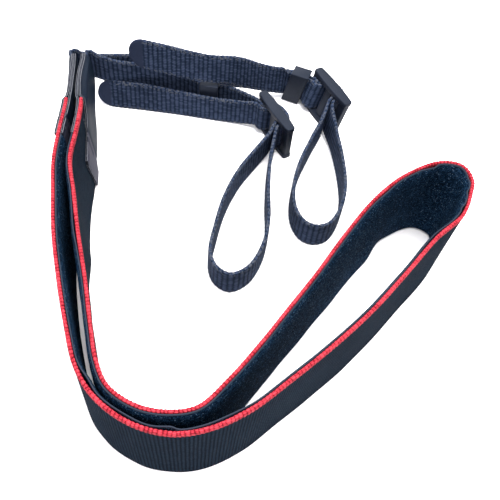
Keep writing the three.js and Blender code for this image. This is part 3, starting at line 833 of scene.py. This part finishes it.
def makeTabLayer(node, fromEnd, woven, lap):
    rows = tabOutline(lap)
    ends = [row[0] for row in rows]
    stations = sorted(set(steps(0, 3, 0.3) + steps(3, ends[-1], 0.6) + ends))
    thick = layerThick(woven)
    plies, bare = (0.24, 0.5, 0.76), [0, 0, 0]  # the three lines of the cut edge
    rings, panels, edgeHighlights = [], [], []
    for at in stations:
        low, high, pinch = outlineAt(rows, at)
        place, pull, heights = tabFrame(fromEnd, at), pullAt(fromEnd, at), columnHeights(low, high)
        inside, outside, panel = [], [], []
        for i, height in enumerate(heights):
            offset = layerOffset(woven, (height - low) / max(high - low, 0.05), pinch, pull)
            groove = grooveAt(min(height - low, high - height), at, height)
            soft = tab["pressed"] if i in (0, len(heights) - 1) else 0
            outer = offset + thick * (1 - soft) - sign(thick) * tab["seamDeep"] * groove
            inside.append(plyPoint(place, offset + soft * thick, height))
            outside.append(plyPoint(place, outer, height))
            lapped = eased((at - panelStart(height) + 0.6) / 1.2)
            panel.append(lapped * (1 - 0.9 * groove))
        atTop, atFoot = (layerOffset(woven, end, pinch, pull) for end in (1, 0))
        crown, sole = min(high + 0.1, bandWidth + 0.05), max(low - 0.1, 0.1)
        topEdge = [plyPoint(place, atTop + thick * q, crown) for q in plies]
        footEdge = [plyPoint(place, atFoot + thick * q, sole) for q in plies[::-1]]
        # painted highlight on the outermost columns, along the cut edge's arrises
        rimHighlight = [1] + [0] * (len(heights) - 2) + [1]
        rings.append(aroundLayer(inside, topEdge, outside[::-1], footEdge))
        edgeHighlights.append(aroundLayer(rimHighlight, bare, rimHighlight, bare))
        panels.append(aroundLayer(panel, bare, panel[::-1], bare))
    count = len(rings[0])
    half = count // 2
    edges = {"end", 0, 1, half - 2, half - 1, half, half + 1, count - 2, count - 1}
    marks, rounds = {"panel": panels, "edgeHighlight": edgeHighlights}, range(count + 1)
    piece = skinFrom(node + "_layer", rings, stations, rounds, marks, edges)
    finishPiece(piece, [tabLeather, tabCutEdge], node, angle=50)


def makeStitch():
    # one stitch, modelled at the origin along X
    deselectAll()
    bpy.ops.mesh.primitive_uv_sphere_add(segments=8, ring_count=6, radius=0.5)
    editMode(True)
    bpy.ops.mesh.select_all(action="SELECT")
    bpy.ops.transform.resize(value=(tab["stitch"], 0.4, 0.3))
    editMode(False)
    return bpy.context.object


stitchMaster = makeStitch()


def panelPaths(lap):
    # round the lapped panel, a little inside its outline, and across the tab where the band starts
    rows = tabOutline(lap)
    inset, clear = tab["seam"], 2.2
    upper, lower = [], []
    for at in steps(tab["panel"] - 10, rows[-1][0] - 1.6, 0.4):
        low, high, _ = outlineAt(rows, at)
        if high - low >= 2 * inset + 0.8:
            for path, height in ((upper, high - inset), (lower, low + inset)):
                if at > panelStart(height) + 0.5:
                    path.append((at, height))
    return [upper, lower, [(panelStart(height), height) for height in steps(bandWidth - clear, clear, 1.0)]]


def makeStitches(name, fromEnd, woven, lap, paths):
    rows = tabOutline(lap)
    made = bmesh.new()
    thick = layerThick(woven)
    stitch, sunk = tab["stitch"], 0.1
    for path in paths:
        points = []
        for at, height in path:
            low, high, pinch = outlineAt(rows, at)
            share = (height - low) / max(high - low, 0.1)
            place = tabFrame(fromEnd, at)
            offset = layerOffset(woven, share, pinch, pullAt(fromEnd, at)) + thick - sunk * sign(thick)
            points.append((plyPoint(place, offset, height), place[1] * sign(thick)))
        lengths = distancesAlong([point for point, _ in points])
        at = stitch / 2
        while at + stitch / 2 < lengths[-1]:
            i = min(max(bisect.bisect_right(lengths, at) - 1, 0), len(points) - 2)
            share = (at - lengths[i]) / max(lengths[i + 1] - lengths[i], 1e-6)
            here = points[i][0].lerp(points[i + 1][0], share)
            run = (points[i + 1][0] - points[i][0]).normalized()
            side = points[i][1].cross(run).normalized()
            out = run.cross(side).normalized()
            turn = Matrix((run, side, out)).transposed().to_4x4()
            copy = stitchMaster.data.copy()
            copy.transform(Matrix.Translation(toWorld(here)) @ turn @ Matrix.Scale(mm, 4))
            made.from_mesh(copy)
            bpy.data.meshes.remove(copy)
            at += stitch + tab["skip"]
    for face in made.faces:
        face.smooth = True
    finishPiece(pieceFrom(name, made), [threadYarn])


for end, fromEnd in (("a", False), ("b", True)):
    for side, woven in (("outer", True), ("inner", False)):
        lap = lapShort if fromEnd and woven else lapLong
        makeTabLayer(f"tab_{end}_{side}", fromEnd, woven, lap)
        makeStitches(f"tab_{end}_{side}_stitches", fromEnd, woven, lap, panelPaths(lap))
bpy.data.objects.remove(stitchMaster)
print("tabs made")


# the narrow webbing

web = {
    "width": 11,
    "thick": 1.2,
    "rise": 12.5,  # how high a lift of 1 holds the webbing's foot
    "pitch": 1.7,  # from rib to rib
    "rib": 0.055,
    "scallop": 0.13,
    "sway": 0.05,
    "round": 0.38,
    "edge": 0.93,  # the flecked edge starts here, as a share of half the width
    "tip": 5.5,
    "sealed": 4.5,
    "sealedThick": 0.72,
}
# the buckle: its middle bar, slots, end bars and rails, and how far the bars stand back and front
glideSize = {
    "middle": 3.6,
    "slot": 5.4,
    "end": 3.8,
    "rail": 1.7,
    "railEnd": 3.2,
    "railMiddle": 4.4,
    "back": 0.9,
    "front": 1.3,
    "play": 0.3,
}
keeperSize = {"length": 7, "wall": 1, "play": 0.5}
glideA = {"x": 0.1895, "y": 0.398, "heading": -61.5, "lean": 0.26}
glideB = {"x": 0.048, "y": 0.315, "heading": -61.7, "lean": 0}
keeperA = {"x": 0.114, "y": 0.461, "heading": -21.7, "lift": 0.144, "layers": 2, "lean": 0.19}
keeperB = {"x": -0.142, "y": 0.403, "heading": -6, "lift": 0.144, "layers": 1, "lean": 0}

# x, y, lift and lean of the webbing's free stretches
runA = [
    (-0.527, 0.41, 0.98), (-0.519, 0.42, 0.92), (-0.5, 0.428, 0.82), (-0.46, 0.431, 0.76),
    (-0.42, 0.43, 0.8), (-0.33, 0.437, 0.8), (-0.178, 0.451, 0.55), (-0.027, 0.462, 0.32),
    (0.06, 0.469, 0.17),
]
runB = [
    (-0.483, 0.416, 0.98), (-0.475, 0.42, 0.945), (-0.455, 0.418, 0.86), (-0.42, 0.416, 0.76),
    (-0.386, 0.417, 0.69), (-0.314, 0.424, 0.58), (-0.223, 0.419, 0.33),
]
runEndB = [(-0.08, 0.404, 0.1), (-0.03, 0.38, 0.12)]
loopA = [
    (0.188, 0.335, 0.08), (0.147, 0.256, 0.02), (0.108, 0.173, 0), (0.09, 0.099, 0), (0.093, 0.048, 0),
    (0.114, 0.013, 0), (0.144, 0.002, 0), (0.178, 0.012, 0), (0.209, 0.053, 0), (0.228, 0.115, 0),
    (0.229, 0.189, 0.02), (0.218, 0.272, 0.08),
]
loopB = [
    (0.031, 0.261, 0.1), (-0.01, 0.208, 0.05), (-0.052, 0.151, 0.01), (-0.088, 0.076, 0),
    (-0.11, -0.006, 0), (-0.12, -0.076, 0), (-0.103, -0.111, 0), (-0.07, -0.126, 0), (-0.028, -0.107, 0),
    (0.008, -0.051, 0), (0.023, 0.016, 0), (0.024, 0.093, 0.01), (0.029, 0.17, 0.05), (0.041, 0.24, 0.1),
]
freeA = [
    (0.062, 0.455, 0.28, 0.06), (-0.008, 0.432, 0.62, 0.11), (-0.095, 0.402, 1.12, 0.12),
    (-0.17, 0.387, 1.34, 0.12), (-0.261, 0.378, 1.65, 0.11), (-0.357, 0.367, 1.98, 0.1),
]
freeB = [
    (-0.038, 0.356, 0.08, 0), (-0.133, 0.37, 0, 0.02), (-0.223, 0.381, 0, 0.08), (-0.33, 0.391, 0, 0.2),
    (-0.466, 0.401, 0, 0.2),
]
# the way through a buckle: slot, face and stack
threadInner = [
    (0.34, -1, 0), (0.34, 0, 0), (0.13, 1, 0), (-0.13, 1, 0), (-0.34, 0, 0), (-0.44, -1, 0),
    (-0.67, -1, 0.93), (-1.05, -1, 1),
]
threadOuter = [
    (0.65, -1, 0), (0.65, 0, 0), (0.28, 1, 1), (-0.28, 1, 1), (-0.63, 0.5, 0), (-0.7, -0.55, 0),
    (-0.89, -1, 0), (-1.25, -1, 0),
]


def placed(row):
    angle = math.radians(row["heading"])
    u = Vector((math.cos(angle), math.sin(angle), 0))
    n = Vector((-u.y, u.x, 0))
    return u, n, onLay((row["x"], row["y"]))


def raised(flat, height):
    return Vector((flat.x, flat.y, height))


def freeNodes(rows):
    nodes = []
    for x, y, lift, *lean in rows:
        nodes.append((raised(onLay((x, y)), lift * web["rise"]), Vector((0, lean[0] if lean else 0, 0))))
    return nodes


def seatNodes(fromEnd):
    nodes = []
    for share in (1, 0.6, 0.25, 0):
        place = tabFrame(fromEnd, share * tab["seat"])
        _, right, flare = place
        nodes.append((plyPoint(place, band["woven"] / 2, web["rise"]), -right * flare))
    return nodes


def threadNodes(glide, rows):
    u, n, centre = placed(glide)
    tilt = n * glide["lean"]
    foot = glideSize["rail"] + glideSize["play"]
    reach = band["gap"] + web["thick"] / 2
    nodes = []
    for slot, face, stack in rows:
        along = sign(slot) * (glideSize["middle"] / 2 + abs(slot) * glideSize["slot"])
        bar = glideSize["back"] if face > 0 else glideSize["front"]
        back = face * (bar + reach) + sign(face) * stack * (web["thick"] + band["gap"])
        nodes.append((raised(centre + u * along + n * back + tilt * foot, foot), tilt))
    return nodes


def keeperNodes(keeper, layer):
    u, n, centre = placed(keeper)
    aside = n * layer * (web["thick"] + band["gap"])
    foot = keeper["lift"] * web["rise"]
    places = [centre + u * share * keeperSize["length"] + aside for share in (0.45, -0.55)]
    return [(raised(place, foot), Vector()) for place in places]


def webbingRoute(fromEnd, run, runEnd, keeper, glide, loop, free):
    nodes = seatNodes(fromEnd) + freeNodes(run) + keeperNodes(keeper, 0.5)[::-1] + freeNodes(runEnd)
    nodes += threadNodes(glide, threadOuter)[::-1] + freeNodes(loop)[::-1] + threadNodes(glide, threadInner)
    if keeper["layers"] == 2:
        nodes += keeperNodes(keeper, -0.5)
    return nodes + freeNodes(free)


def makeWebbing(node, route, seed):
    line = smoothLine([at for at, _ in route], 36)
    tilts = [tilt for _, tilt in route]
    length, rib, width, thick = line["length"], web["pitch"], web["width"], web["thick"]
    tipSteps = [length - web["tip"] * q for q in (0.002, 0.01, 0.03, 0.06, 0.1, 0.15, 0.21)]
    stations = sorted(steps(0, length - 1.3, rib / 4) + tipSteps)
    stations = [s for i, s in enumerate(stations) if i == 0 or s - stations[i - 1] > 0.008]
    section = roundedSection(-thick / 2, thick / 2, 0, width, web["round"], 6)
    shares = [(height / width - 0.5) * 2 for _, height in section]  # -1 at the foot, 1 at the top
    rings, seals = [], []
    for distance in stations:
        here, heading, row = alongLine(line, distance)
        i = min(int(row), len(tilts) - 2)
        tilt = tilts[i].lerp(tilts[i + 1], row - i)
        side = rightOf(heading)
        half = width / max(math.hypot(heading.x, heading.y), 0.3) / 2
        left = length - distance
        inside = min(max(left / web["tip"], 0), 1)
        rounded = max(math.sqrt(max(1 - (1 - inside) ** 2, 0)), 0.06)
        sealed = 1 - eased((left - web["sealed"]) / 1.2)
        phase = -math.cos(2 * math.pi * distance / rib) * (1 - sealed)
        relief, scallop = web["rib"] * phase, web["scallop"] * phase
        wave = sway(distance, seed, web["sway"])
        ring = []
        for (offset, _), middle in zip(section, shares):
            x = offset * mix(1.0, web["sealedThick"], sealed)
            x += sign(offset) * relief * (1 - abs(middle) ** 6) + wave * (1 - middle * middle)
            z = half + (half * rounded + scallop * abs(middle) ** 3) * middle
            ring.append(raised(here + side * x + tilt * z, max(here.z + z, 0.05)))
        rings.append(ring)
        seals.append([sealed] * len(section))
    edge = [abs(middle) > web["edge"] for middle in shares]
    marks = {"sealed": seals, "edge": [edge] * len(rings)}
    piece = skinFrom(node + "_woven", rings, stations, perimeter(section), marks)
    finishPiece(piece, [webbingCloth], node)
    print(node, round(length), "mm")


makeWebbing("webbing_a", webbingRoute(False, runA, [], keeperA, glideA, loopA, freeA), 0.4)
makeWebbing("webbing_b", webbingRoute(True, runB, runEndB, keeperB, glideB, loopB, freeB), 3.3)


# buckles and keepers, modelled at the origin and then stood in their places

nearby = 0.05  # what lies within this of a place counts as there, in mm
glideLength = glideSize["middle"] + 2 * glideSize["slot"] + 2 * glideSize["end"]


def applyModifier(piece, kind, **fields):
    modifier = piece.modifiers.new("change", kind)
    setFields(modifier, **fields)
    bpy.context.view_layer.objects.active = piece
    bpy.ops.object.modifier_apply(modifier=modifier.name)


def addBlock(name, size, place):
    deselectAll()
    bpy.ops.mesh.primitive_cube_add(size=1, location=place)
    block = bpy.context.object
    block.name = name
    block.scale = size
    bpy.ops.object.transform_apply()
    return block


def selectWhere(piece, test, kind="EDGE"):
    # in edit mode: selects the edges, faces or corners whose middle and direction pass the test
    bpy.ops.mesh.select_mode(type=kind)
    bpy.ops.mesh.select_all(action="DESELECT")
    shape = bmesh.from_edit_mesh(piece.data)
    if kind == "FACE":
        spots = [(face, face.calc_center_median(), face.normal) for face in shape.faces]
    elif kind == "VERT":
        spots = [(vert, vert.co, None) for vert in shape.verts]
    else:
        ends = [(edge, edge.verts[0].co, edge.verts[1].co) for edge in shape.edges]
        spots = [(edge, (a + b) / 2, (b - a).normalized()) for edge, a, b in ends]
    for part, middle, direction in spots:
        if test(middle, direction):
            part.select = True
    shape.select_flush_mode()
    bmesh.update_edit_mesh(piece.data)


def bevelWhere(piece, offset, test):
    editMode(True)
    selectWhere(piece, test)
    bpy.ops.mesh.bevel(offset=offset, segments=4, affect="EDGES")
    editMode(False)


def makeRail(name, place):
    length, end, cuts = glideLength, glideSize["railEnd"], 11
    rail = addBlock(name, (length, end, glideSize["rail"]), place)
    editMode(True)
    selectWhere(rail, lambda _, run: abs(run.x) > 0.9)
    bpy.ops.mesh.subdivide(number_cuts=cuts)
    for i in range(cuts):
        x = length * (i + 1) / (cuts + 1) - length / 2
        selectWhere(rail, lambda at, _, x=x: abs(at.x - x) < nearby, "VERT")
        wide = mix(end, glideSize["railMiddle"], 1 - (abs(x) / (length / 2)) ** 2)
        bpy.ops.transform.resize(value=(1, wide / end, 1), center_override=(x, 0, place[2]))
    bevelWhere(rail, 0.75, lambda at, run: abs(run.z) > 0.9 and abs(abs(at.x) - length / 2) < nearby)
    return rail


def uniteWith(piece, other):
    applyModifier(piece, "BOOLEAN", operation="UNION", solver="EXACT", object=other)
    bpy.data.objects.remove(other)


def softenEdges(piece, width, angle):
    limit = math.radians(angle)
    applyModifier(piece, "BEVEL", width=width, segments=3, limit_method="ANGLE", angle_limit=limit)


def standAt(piece, u, n, lean, centre):
    # the piece's own X and Y turn to u and n, its Z leans, and its origin comes to the centre, in mm
    columns = (u, n, raised(lean, 1), centre)
    turn = Matrix([[column[r] for column in columns] for r in range(3)] + [[0, 0, 0, 1]])
    for matrix in (turn, Matrix.Translation(Vector(lay["centre"])), Matrix.Scale(mm, 4)):
        piece.data.transform(matrix)
    piece.data.update()


def makeTriglide(node, glide):
    length, rail, end = glideLength, glideSize["rail"], glideSize["end"]
    width = web["width"] + 2 * glideSize["play"] + 2 * rail
    body = makeRail(node + "_moulding", (0, 0, rail / 2))
    uniteWith(body, makeRail("upperRail", (0, 0, width - rail / 2)))
    softenEdges(body, 0.28, 35)
    front, back, sunk = glideSize["front"], glideSize["back"], 0.4
    ends = length / 2 - end / 2 - 0.2
    for centre, wide, toBack in ((0, glideSize["middle"], back), (ends, end, front), (-ends, end, front)):
        size = (wide, front + toBack, width - 2 * rail + 2 * sunk)
        bar = addBlock("bar", size, (centre, (toBack - front) / 2, width / 2))
        bevelWhere(bar, 0.45, lambda _, run: abs(run.z) > 0.9)
        uniteWith(body, bar)
    u, n, centre = placed(glide)
    standAt(body, u, n, n * glide["lean"], centre)
    finishPiece(body, [mouldedPlastic], node, angle=40)


def makeKeeper(node, keeper):
    play, wall = keeperSize["play"], keeperSize["wall"]
    depth = 2 * web["thick"] + band["gap"] + 2 * play
    height = web["width"] + 2 * play
    size = (keeperSize["length"], depth + 2 * wall, height + 2 * wall)
    body = addBlock(node + "_moulding", size, (0, 0, height / 2))
    editMode(True)
    selectWhere(body, lambda _, normal: abs(normal.x) > 0.9, "FACE")
    bpy.ops.mesh.inset(thickness=wall, depth=0)
    bpy.ops.mesh.bridge_edge_loops()
    editMode(False)
    softenEdges(body, 0.3, 60)
    u, n, centre = placed(keeper)
    lean = u * keeper["lean"]
    foot = Vector((0, 0, keeper["lift"] * web["rise"] - play))
    standAt(body, u, n, lean, centre - lean * 3 + foot)
    finishPiece(body, [mouldedPlastic], node, angle=40)


makeTriglide("triglide_a", glideA)
makeTriglide("triglide_b", glideB)
makeKeeper("keeper_a", keeperA)
makeKeeper("keeper_b", keeperB)
print("buckles and keepers made")


# floor, light and camera


def makeStudio():
    deselectAll()
    bpy.ops.mesh.primitive_plane_add(size=4)
    floor = bpy.context.object
    floor.name = "studio_floor"
    material, _, shader = newMaterial("palePaper", {"roughness": 0.9, "specular": 0.1})
    shader["Base Color"].default_value = (0.93, 0.92, 0.94, 1)
    floor.data.materials.append(material)
    world = bpy.data.worlds.new("studioAir")
    world.use_nodes = True
    air = world.node_tree.nodes["Background"].inputs
    air[0].default_value = (0.97, 0.98, 1.0, 1)
    air[1].default_value = lights["world"]
    bpy.context.scene.world = world
    for name in ("key", "fill", "back"):
        settings = lights[name]
        bpy.ops.object.light_add(type="AREA", location=settings["place"])
        lamp = bpy.context.object
        lamp.name = name + "_light"
        size, power, colour = settings["size"], settings["power"], settings["colour"]
        setFields(lamp.data, shape="DISK", size=size, energy=power, color=colour)
        aim = Vector((0, 0, 0.01)) - Vector(settings["place"])
        lamp.rotation_euler = aim.to_track_quat("-Z", "Y").to_euler()
    bpy.ops.object.camera_add(location=[q * mm for q in view["place"]])
    camera = bpy.context.object
    camera.rotation_euler = [math.radians(q) for q in view["turn"]]
    camera.data.lens = view["lens"]
    camera.data.clip_start = 0.01
    bpy.context.scene.camera = camera
    bpy.context.scene.view_settings.view_transform = "Standard"


makeStudio()
print("scene made")
